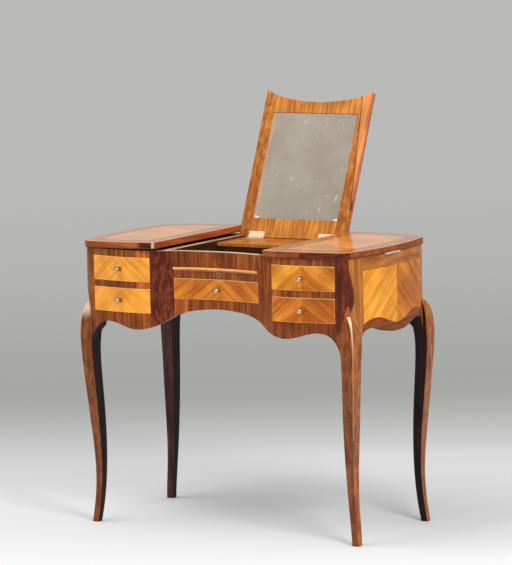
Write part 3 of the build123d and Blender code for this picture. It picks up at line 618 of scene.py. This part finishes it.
def leg_veneer(name, post, end_stain, seed, side, end, painted_knee_highlight):
    """Cabriole leg: veneered on its outward faces with a painted highlight on the corner between them,
    dark stained on the two that face inwards; the knee's end faces carry painted shade. Above the knee
    the case's own veneer runs up the post, and the side's laps over it. Side and end are -1 or 1, as
    the leg stands. With painted_knee_highlight the knee also gets a painted highlight."""
    material, tree, place = new_material(name)
    grain = veneer(tree, place, LEG_WOOD, seed=seed, waves=2.5, curl=0.55)
    upper = veneer(tree, place, post, seed=seed + 2, waves=3.0, curl=0.3)
    strip = veneer(tree, place, KINGWOOD_PALE, facing=SIDE, seed=seed + 3)
    stained_end = veneer(tree, place, end_stain, seed=seed + 1)
    stained_side = veneer(tree, place, STAIN_AND_SHADE, seed=seed + 1)
    where, direction = axes(tree, place), face_direction(tree)
    sideways = times(tree, direction["X"], side)
    endways = times(tree, direction["Y"], end)
    x, height = unsigned(tree, where["X"]), where["Z"]
    fore = times(tree, minus(tree, where["Y"], PLAN_MIDDLE), end)

    swell = times(tree, ramp(tree, height, 0.565, 0.61), ramp(tree, height, 0.7, 0.62))
    edge = calc(tree, "MULTIPLY_ADD", swell, -STRIP_SWELL, STRIP_FORE)
    on_strip = times(tree, over(tree, sideways, 0.8), over(tree, minus(tree, edge, fore), 0.0))
    color = blend(tree, on_strip, upper["Color"], strip["Color"])

    # painted shade: below the pointed joint, the knee's front or back faces are a darkened copy of its
    # veneer
    painted_end_shade = times(tree, over(tree, endways, 0.8), 0.72)
    knee = blend(tree, painted_end_shade, grain["Color"], (0.5, 0.45, 0.45, 1), "MULTIPLY")
    color, below = pointed_knee(tree, color, knee, x, fore, height)
    proud_reach = KNEE_FRONT if end < 0 else KNEE_BACK
    color = painted_corner_highlight(tree, color, x, fore, height, (sideways, endways), proud_reach)
    # painted highlight on the knee of the front left leg
    if painted_knee_highlight:
        worn = times(tree, ramp(tree, x, 0.362, 0.374), ramp(tree, height, 0.525, 0.56))
        worn = times(tree, worn, over(tree, below, 0.0), 0.7)
        color = blend(tree, worn, color, rgb(248, 216, 186))

    inward = calc(tree, "MAXIMUM", times(tree, sideways, -1.0), times(tree, endways, -1.0))
    inside = over(tree, inward, 0.2)
    stained = blend(tree, under(tree, sideways, -0.6), stained_end["Color"], stained_side["Color"])
    color = blend(tree, inside, color, stained)
    return polished(material, tree, color, grain, coat=0.25, bare=inside)


def side_veneer(name, seed):
    """Side of the case: crossbanding above, two matched leaves, a waved band along the bottom, and
    painted shade on its sawn edges.
    """
    material, tree, place = new_material(name)
    where = axes(tree, place)
    y, height = where["Y"], where["Z"]
    leaf = {"facing": SIDE, "origin": (0, PLAN_MIDDLE, 0), "fold": 1.0, "grain": radians(50),
            "waves": 0.8, "fineness": 0.4}
    fore = veneer(tree, place, TULIPWOOD, seed=seed, **leaf)
    back = veneer(tree, place, TULIPWOOD_BROWN, seed=seed + 3, **leaf)
    color = blend(tree, over(tree, y, PLAN_MIDDLE), fore["Color"], back["Color"])
    seam = minus(tree, y, PLAN_MIDDLE)
    color = lined(tree, color, seam, 0.0002, 0.0009, 0.6, rgb(96, 48, 24))

    above = veneer(tree, place, KINGWOOD_PALE, facing=SIDE, grain=ACROSS, seed=seed + 5, fineness=0.6)
    color = blend(tree, over(tree, height, SIDE_BAND_FOOT), color, above["Color"])
    turn = times(tree, minus(tree, y, WAVE_CREST), WAVE_TURN)
    wave = calc(tree, "MULTIPLY_ADD", calc(tree, "COSINE", turn), WAVE_HEIGHT, WAVE_MIDDLE)
    drop = minus(tree, height, wave)
    band = veneer(tree, place, KINGWOOD_RED, facing=SIDE, grain=ACROSS, seed=seed + 8)
    color = blend(tree, under(tree, drop, 0.0), color, band["Color"])
    color = lined(tree, color, drop, 0.0003, 0.0012, 0.7, rgb(70, 30, 18))

    # painted shade: the sawn edges are darkened
    sawn = sawn_edge(tree, "X")
    painted_edge_shade = veneer(tree, place, STAIN_AND_SHADE, seed=seed + 9)
    color = blend(tree, sawn, color, painted_edge_shade["Color"])
    return polished(material, tree, color, fore, bare=sawn)


for leg, post, end_stain, seed, side, end, painted_knee_highlight in (
        ("leg_front_left", KINGWOOD, STAIN_AND_SHADE, 17.0, -1, -1, True),
        ("leg_front_right", KINGWOOD_DARK, STAIN_AND_SHADE, 18.0, 1, -1, False),
        ("leg_back_left", KINGWOOD, STAIN_BROWN, 19.0, -1, 1, False),
        ("leg_back_right", KINGWOOD, STAIN_AND_SHADE, 20.0, 1, 1, False)):
    dress(leg_veneer(f"{leg}_veneer", post, end_stain, seed, side, end, painted_knee_highlight), leg)

dress(side_veneer("side_right_veneer", 21.0), "side_panel_right")
dress(side_veneer("side_left_veneer", 22.0), "side_panel_left")
dress(plain_veneer("back_veneer", KINGWOOD_RED, seed=23.0, waves=2.0), "back_panel")


# ---------------------------------------------------------------- lids
def bordered_leaf(tree, place, facing, inset, sideways, seeds):
    """Bordered veneer of a lid or of the panel's back. Seeds are those of field, ends and sides."""
    field_seed, ends_seed, sides_seed = seeds
    sockets = {"Vector": place, "Facing": facing, "Inset": inset, "Sideways": sideways,
               "Field Seed": field_seed, "Ends Seed": ends_seed, "Sides Seed": sides_seed}
    return add(tree, "Group", sockets, node_tree=BORDERED_LEAF).outputs


def banded_edge(tree, place, seed, joints, shades, ebony, worn, rise):
    """Edges of a lid, banded in lengths, with a painted shadow at their foot and a redder inner edge.
    """
    where, direction = axes(tree, place), face_direction(tree)
    band = veneer(tree, place, LID_EDGE, seed=seed + 6, grain=ACROSS, waves=0.5)
    color = joined(tree, band["Color"], where["X"], joints, shades)
    dark = veneer(tree, place, KINGWOOD_DARK, seed=seed + 7, grain=ACROSS)
    bare = veneer(tree, place, BARE_WOOD_AND_GLARE, seed=seed + 9)
    for length, reach in ((dark, ebony), (bare, worn)):
        if reach:
            within = times(tree, over(tree, where["X"], reach[0]), under(tree, where["X"], reach[1]))
            color = blend(tree, within, color, length["Color"])
    x = unsigned(tree, where["X"])
    inner = times(tree, under(tree, x, LID_INNER + LIP_WIDTH),
                  over(tree, unsigned(tree, direction["X"]), 0.7))
    inner_band = veneer(tree, place, LID_INNER_EDGE, facing=SIDE, seed=seed + 8, grain=ACROSS)
    color = blend(tree, inner, color, inner_band["Color"])
    # painted shadow along the foot of the edges, where the lid meets the case
    foot = calc(tree, "MULTIPLY_ADD", minus(tree, LID_PIN, x), rise, CASE_TOP)
    shadow = ramp(tree, minus(tree, where["Z"], foot), 0.0012, 0.004, 0.85, 0.0)
    return blend(tree, shadow, color, rgb(34, 16, 10))


def lid_veneer(name, seed, joints, shades, ebony, worn=None, rise=0.0):
    """Lid: bordered top with a painted highlight round its rim, banded edges and a plain oak underside.
    Its edge is almost black between the two X values of ebony, and rubbed bare between those of worn."""
    material, tree, place = new_material(name)
    layout = add(tree, "Group", {"Vector": place}, node_tree=TOP_LAYOUT).outputs
    top = bordered_leaf(tree, place, TOP, layout["Inset"], layout["Sideways"],
                        (seed, seed + 2, seed + 4))
    # painted highlight: a pale line round the top's rim
    painted_rim_highlight = ramp(tree, layout["Inset"], 0.0015, 0.004, 0.45, 0.0)
    highlit_top = blend(tree, painted_rim_highlight, top["Color"], rgb(240, 190, 150))
    edge = banded_edge(tree, place, seed, joints, shades, ebony, worn, rise)
    lining = veneer(tree, place, OAK, facing=TOP, seed=seed + 10, grain=ACROSS)
    upward = face_direction(tree)["Z"]
    above = over(tree, upward, 0.5)
    color = blend(tree, above, edge, highlit_top)
    color = blend(tree, under(tree, upward, -0.5), color, lining["Color"])
    bare = times(tree, minus(tree, 1.0, above), 0.9)
    return polished(material, tree, color, top, coat=0.9, bare=bare)


dress(lid_veneer("lid_left_veneer", 24.0, (-0.204,), (0.9, 0.5), ebony=(-0.1995, -0.1665),
                 worn=(-0.1665, -0.159), rise=LEFT_LID_RISE), "lid_left")
dress(lid_veneer("lid_right_veneer", 25.0, (0.2, 0.386), (0.75, 0.6, 0.7), ebony=(0.262, 0.386)),
      "lid_right")


# ---------------------------------------------------------------- mirror panel
def up_the_panel(tree, height):
    """How far up the leaning panel a height is, from its hinge line."""
    return calc(tree, "MULTIPLY_ADD", height, 1 / cos(LEAN), -PANEL_PIN / cos(LEAN))


def mirror_stile_veneer(name, seed, joint=None):
    """Curly veneer, with a painted highlight on its inner edge. A joint's X at its top makes a plainer
    strip outside it.
    """
    material, tree, place = new_material(name)
    grain = veneer(tree, place, MIRROR_FRAME, facing=PANEL, seed=seed, waves=3.0, curl=0.7)
    color = grain["Color"]
    where = axes(tree, place)
    x = unsigned(tree, where["X"])
    if joint:
        strip = veneer(tree, place, MIRROR_STRIP, facing=PANEL, seed=seed + 1)
        down = minus(tree, STRIP_TOP, where["Z"])
        off = minus(tree, x, calc(tree, "MULTIPLY_ADD", down, STRIP_SLOPE, joint))
        color = blend(tree, over(tree, off, 0.0), color, strip["Color"])
        color = lined(tree, color, off, 0.0006, 0.0018, 0.85, rgb(58, 26, 14))
    # painted highlight: sideways faces on the inner edge are made pale
    inner = times(tree, over(tree, unsigned(tree, face_direction(tree)["X"]), 0.7),
                  under(tree, x, STILE_INNER), 0.8)
    color = blend(tree, inner, color, rgb(206, 172, 140))
    return polished(material, tree, color, grain)


def panel_back_veneer():
    """Outer face of the mirror panel, veneered as the lids that it lies between when it is shut."""
    material, tree, place = new_material("panel_back_veneer")
    where = axes(tree, place)
    x, up = unsigned(tree, where["X"]), up_the_panel(tree, where["Z"])
    from_side = minus(tree, PANEL_HALF, x)
    top = calc(tree, "MULTIPLY_ADD", calc(tree, "POWER", x, 2.0), TOP_BOW, PANEL_TOP)
    from_end = calc(tree, "MINIMUM", up, minus(tree, top, up))
    inset = calc(tree, "MINIMUM", from_side, from_end)
    sideways = under(tree, from_side, from_end)
    leaf = bordered_leaf(tree, place, PANEL, inset, sideways, (29.0, 38.0, 39.0))
    return polished(material, tree, leaf["Color"], leaf, coat=0.5)


def old_mirror():
    """Silvered glass, greyed with age, its silver rubbed away in pale scratches, with a painted
    highlight along the bevel and painted shading, lighter up the glass and darker at its foot.
    """
    material, tree, place = new_material("old_mirror_glass")
    haze = noise(tree, place, 9.0, 4.0, 0.6)
    spots = noise(tree, place, 60.0, 5.0, 0.7)
    wisps = noise(tree, place, (110, 60, 34), 4.0, 0.7)
    color = blend(tree, ramp(tree, haze, 0.35, 0.7), rgb(238, 224, 208), rgb(222, 206, 190))
    color = blend(tree, ramp(tree, spots, 0.6, 0.78, 0.0, 0.5), color, rgb(140, 126, 114))
    where = axes(tree, place)
    up = up_the_panel(tree, where["Z"])

    short_of_corner = ramp(tree, unsigned(tree, where["X"]), 0.08, 0.122, 0.02, -0.001)
    foot = calc(tree, "ADD", minus(tree, up, GLASS_FOOT), short_of_corner)
    bevel = calc(tree, "MINIMUM", minus(tree, GLASS_TOP, up), foot)
    # painted highlight along the top and foot of the bevel
    glint = times(tree, ramp(tree, bevel, 0.0012, 0.0036, 1.0, 0.0),
                  ramp(tree, spots, 0.3, 0.5, 0.75, 1.0))
    # pale scratches where the silver is gone, together with the painted bevel highlight
    worn = calc(tree, "MAXIMUM", glint, ramp(tree, wisps, 0.6, 0.74, 0.0, 0.4))

    # painted shading: lighter up the glass, darker towards its foot
    painted_glass_shading = share(tree, up, 0.05, 0.34)
    color = blend(tree, painted_glass_shading, color, (1.06, 1.06, 1.06, 1), "MULTIPLY")
    color = blend(tree, minus(tree, 1.0, painted_glass_shading), color, (0.91, 0.91, 0.91, 1), "MULTIPLY")
    color = blend(tree, worn, color, rgb(244, 238, 228))
    shader = add(tree, "BsdfPrincipled", {
        "Base Color": color, "Roughness": ramp(tree, spots, 0.4, 0.75, 0.03, 0.1),
        "Metallic": minus(tree, 0.95, times(tree, worn, 0.9)),
        "Coat Weight": 0.5, "Coat Roughness": 0.03})
    add(tree, "OutputMaterial", {"Surface": shader.outputs[0]})
    return material


dress(mirror_stile_veneer("mirror_stile_left_veneer", 26.0), "mirror_stile_left")
dress(mirror_stile_veneer("mirror_stile_right_veneer", 27.0, joint=0.1315), "mirror_stile_right")
dress(plain_veneer("mirror_rail_veneer", MIRROR_RAIL, facing=PANEL, seed=28.0, waves=0.8, curl=0.15),
      "mirror_bottom_rail", "mirror_top_rail")
dress(panel_back_veneer(), "mirror_backboard")
dress(old_mirror(), "mirror_glass")


# ---------------------------------------------------------------- inside of the case
def partition_boards():
    """Dark boards, darker still as painted shade, with a painted reflection making their top edges pale
    under the lids.
    """
    material, tree, place = new_material("partition_boards")
    grain = veneer(tree, place, WELL_WOOD_AND_SHADE, facing=BOARD, seed=36.0)
    bare = veneer(tree, place, BARE_WOOD_AND_GLARE, facing=TOP, seed=37.0, fineness=0.6)
    # painted reflection: faces that look up are made pale
    color = blend(tree, top_face(tree), grain["Color"], bare["Color"])
    return polished(material, tree, color, grain, coat=0.0)


dress(plain_veneer("oak_boards", OAK, facing=BOARD, seed=30.0, coat=0.0), "drawer_bed_left",
      "drawer_bed_right", "drawer_bed_centre", "slide_bed", "drawer_bottom_left",
      "drawer_bottom_right", "drawer_bottom_centre", "slide_board")
dress(plain_veneer("oak_sides", OAK, facing=TOP, seed=31.0, coat=0.0), "drawer_guides",
      "drawer_sides_left", "drawer_sides_right", "drawer_sides_centre")
dress(plain_veneer("well_boards", WELL_WOOD_AND_SHADE, facing=BOARD, seed=33.0, coat=0.0), "well_floor_left",
      "well_floor_right", "well_floor_centre", "well_back_rail")
dress(partition_boards(), "partition_left", "partition_right")
dress(plain_veneer("mirror_board_veneer", KINGWOOD_PALE, facing=TOP, seed=34.0), "mirror_board")


# ---------------------------------------------------------------- metal
def knob_brass(name, node):
    """Brass ball rubbed bright, with painted shade making the stem and rosette behind it dark brown and
    dull.
    """
    material, tree, place = new_material(name)
    wear = add(tree, "Group", {"Vector": place, "Size": 420.0}, node_tree=PATINA).outputs
    depth = minus(tree, axes(tree, place)["Y"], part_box(node)[0][1])
    color = blend(tree, wear["Mask"], rgb(226, 206, 160), rgb(170, 140, 92))
    # painted shade: stem and rosette behind the ball are dark brown, dull and hardly metallic
    color = blend(tree, ramp(tree, depth, 0.012, 0.0165), color, rgb(150, 84, 36))
    shader = add(tree, "BsdfPrincipled", {
        "Base Color": color, "Roughness": ramp(tree, depth, 0.011, 0.0165, 0.3, 0.75),
        "Metallic": ramp(tree, depth, 0.011, 0.0165, 1.0, 0.1)})
    add(tree, "OutputMaterial", {"Surface": shader.outputs[0]})
    return material


for suffix in ("left", "right", "centre"):
    dress(knob_brass(f"knob_brass_{suffix}", f"drawer_knob_{suffix}"), f"drawer_knob_{suffix}")
dress(knob_brass("knob_brass_sham", "sham_knobs"), "sham_knobs")
dress(worn_metal("keyhole_bronze", rgb(176, 122, 80), rgb(116, 72, 44), 420.0, 0.5),
      "slide_escutcheon")
dress(worn_metal("rubbed_brass", rgb(252, 240, 210), rgb(206, 176, 124), 500.0, 0.35),
      "mirror_hinge_fixed", "mirror_hinge_moving")
dress(worn_metal("hinge_steel", rgb(236, 230, 220), rgb(176, 166, 154), 480.0, 0.5),
      "lid_hinge_case", "lid_hinge_leaf_left", "lid_hinge_leaf_right")


# ---------------------------------------------------------------- floor, light and camera
FLOOR_RADIUS = 60.0
BEHIND = (-0.517, 0.856, 0)        # the way the camera looks, along the floor
TONES_START, TONES_END = -1.0, 9.0
NEAR_PAPER, FAR_PAPER = rgb(246, 247, 245), rgb(185, 186, 183)
# metres behind the table, and the paper's 8-bit grey there
PAPER_TONES = ((-0.6, 250), (0.0, 241), (0.4, 244), (0.62, 243), (0.87, 234), (1.1, 215), (1.37, 197),
               (1.63, 181), (1.92, 169), (2.3, 167), (3.0, 169), (4.9, 178), (8.0, 185))
PAPER_TINT = (0.8, 0.815, 0.87)    # darkens the paper for the light that falls on it
AIM = Vector((0, 0, 0.5))          # what the lamps look at
CAMERA_PLACE = (4.6068, -7.67716, 1.7348)
CAMERA_TURN, CAMERA_DIP, CAMERA_ROLL = radians(31.150), radians(7.166), radians(-1.227)
CAMERA_LENS, CAMERA_SENSOR = 225.2, 36.0   # millimetres


def seen_directly(tree):
    """1 for the camera, and for what metal and glass show."""
    rays = add(tree, "LightPath").outputs
    straight = calc(tree, "MAXIMUM", rays["Is Camera Ray"], rays["Is Glossy Ray"])
    return calc(tree, "MAXIMUM", straight, rays["Is Transmission Ray"])


def studio_floor():
    """Wide round floor, pale under the table and grey further out; it keeps the table's shadow."""
    mesh = bpy.data.meshes.new("studio_floor")
    shape = bmesh.new()
    bmesh.ops.create_circle(shape, cap_ends=True, segments=96, radius=FLOOR_RADIUS)
    shape.to_mesh(mesh)
    shape.free()
    floor = bpy.data.objects.new("studio_floor", mesh)
    bpy.context.scene.collection.objects.link(floor)

    material, tree, place = new_material("studio_paper")
    behind = add(tree, "VectorMath", {0: place, 1: BEHIND}, operation="DOT_PRODUCT").outputs["Value"]
    tones = add(tree, "ValToRGB", {0: share(tree, behind, TONES_START, TONES_END)})
    points = tones.color_ramp.elements
    points[0].position, points[0].color = 0.0, NEAR_PAPER
    points[1].position, points[1].color = 1.0, FAR_PAPER
    for reach, level in PAPER_TONES:
        point = points.new((reach - TONES_START) / (TONES_END - TONES_START))
        point.color = rgb(level, level + 1, level - 1)
    paper = add(tree, "BsdfDiffuse", {"Color": vectors(tree, "MULTIPLY", tones.outputs[0], PAPER_TINT)})
    glow = add(tree, "Emission", {"Color": tones.outputs[0], "Strength": 1.0})
    unlit = times(tree, ramp(tree, behind, 0.5, 1.9), seen_directly(tree))
    mixed = add(tree, "MixShader", {0: unlit, 1: paper.outputs[0], 2: glow.outputs[0]})
    add(tree, "OutputMaterial", {"Surface": mixed.outputs[0]})
    mesh.materials.append(material)


def studio_world():
    """Even grey surroundings; the camera, metal and glass see the same grey as the far floor."""
    world = bpy.data.worlds.new("studio_grey")
    bpy.context.scene.world = world
    world.use_nodes = True
    tree = world.node_tree
    tree.nodes.clear()
    light = add(tree, "Background", {"Color": (1.0, 0.98, 0.95, 1), "Strength": 0.66})
    grey = add(tree, "Background", {"Color": FAR_PAPER, "Strength": 1.0})
    mixed = add(tree, "MixShader", {0: seen_directly(tree), 1: light.outputs[0], 2: grey.outputs[0]})
    add(tree, "OutputWorld", {"Surface": mixed.outputs[0]})


def softbox(name, azimuth, elevation, distance, size, power, color, in_gloss=True):
    """Square lamp that looks at the table from the given direction. Gloss mirrors it if in_gloss."""
    lamp = bpy.data.lights.new(name, "AREA")
    lamp.shape = "SQUARE"
    lamp.size = size
    lamp.energy = power
    lamp.color = color
    holder = bpy.data.objects.new(name, lamp)
    bpy.context.scene.collection.objects.link(holder)
    turn, rise = radians(azimuth), radians(elevation)
    away = Vector((cos(turn) * cos(rise), sin(turn) * cos(rise), sin(rise)))
    holder.location = AIM + distance * away
    holder.rotation_mode = "QUATERNION"
    holder.rotation_quaternion = away.to_track_quat("Z", "Y")
    holder.visible_camera = False
    holder.visible_glossy = in_gloss


def studio_camera():
    """Long lens from the right of the front, a little above the table, dipped and rolled."""
    data = bpy.data.cameras.new("studio_camera")
    data.lens = CAMERA_LENS
    data.sensor_width = CAMERA_SENSOR
    data.clip_start = 0.1
    data.clip_end = 200.0
    turn, dip = CAMERA_TURN, CAMERA_DIP
    ahead = Vector((-sin(turn) * cos(dip), cos(turn) * cos(dip), -sin(dip)))
    right = Vector((cos(turn), sin(turn), 0.0))
    level = Matrix((right, right.cross(ahead), -ahead)).transposed()
    rolled = (level @ Matrix.Rotation(CAMERA_ROLL, 3, "Z")).to_4x4()
    camera = bpy.data.objects.new("studio_camera", data)
    bpy.context.scene.collection.objects.link(camera)
    camera.matrix_world = Matrix.Translation(CAMERA_PLACE) @ rolled
    bpy.context.scene.camera = camera


studio_floor()
studio_world()
softbox("key_light", azimuth=-140.0, elevation=60.0, distance=3.4, size=2.4, power=50.0,
        color=(1.0, 0.97, 0.92), in_gloss=False)
softbox("sparkle_light", azimuth=-98.0, elevation=52.0, distance=2.6, size=0.35, power=4.0,
        color=(1.0, 0.98, 0.95))
softbox("fill_light", azimuth=-33.0, elevation=40.0, distance=3.5, size=1.0, power=58.0,
        color=(1.0, 0.97, 0.92))
studio_camera()

bpy.context.scene.view_settings.view_transform = "Standard"
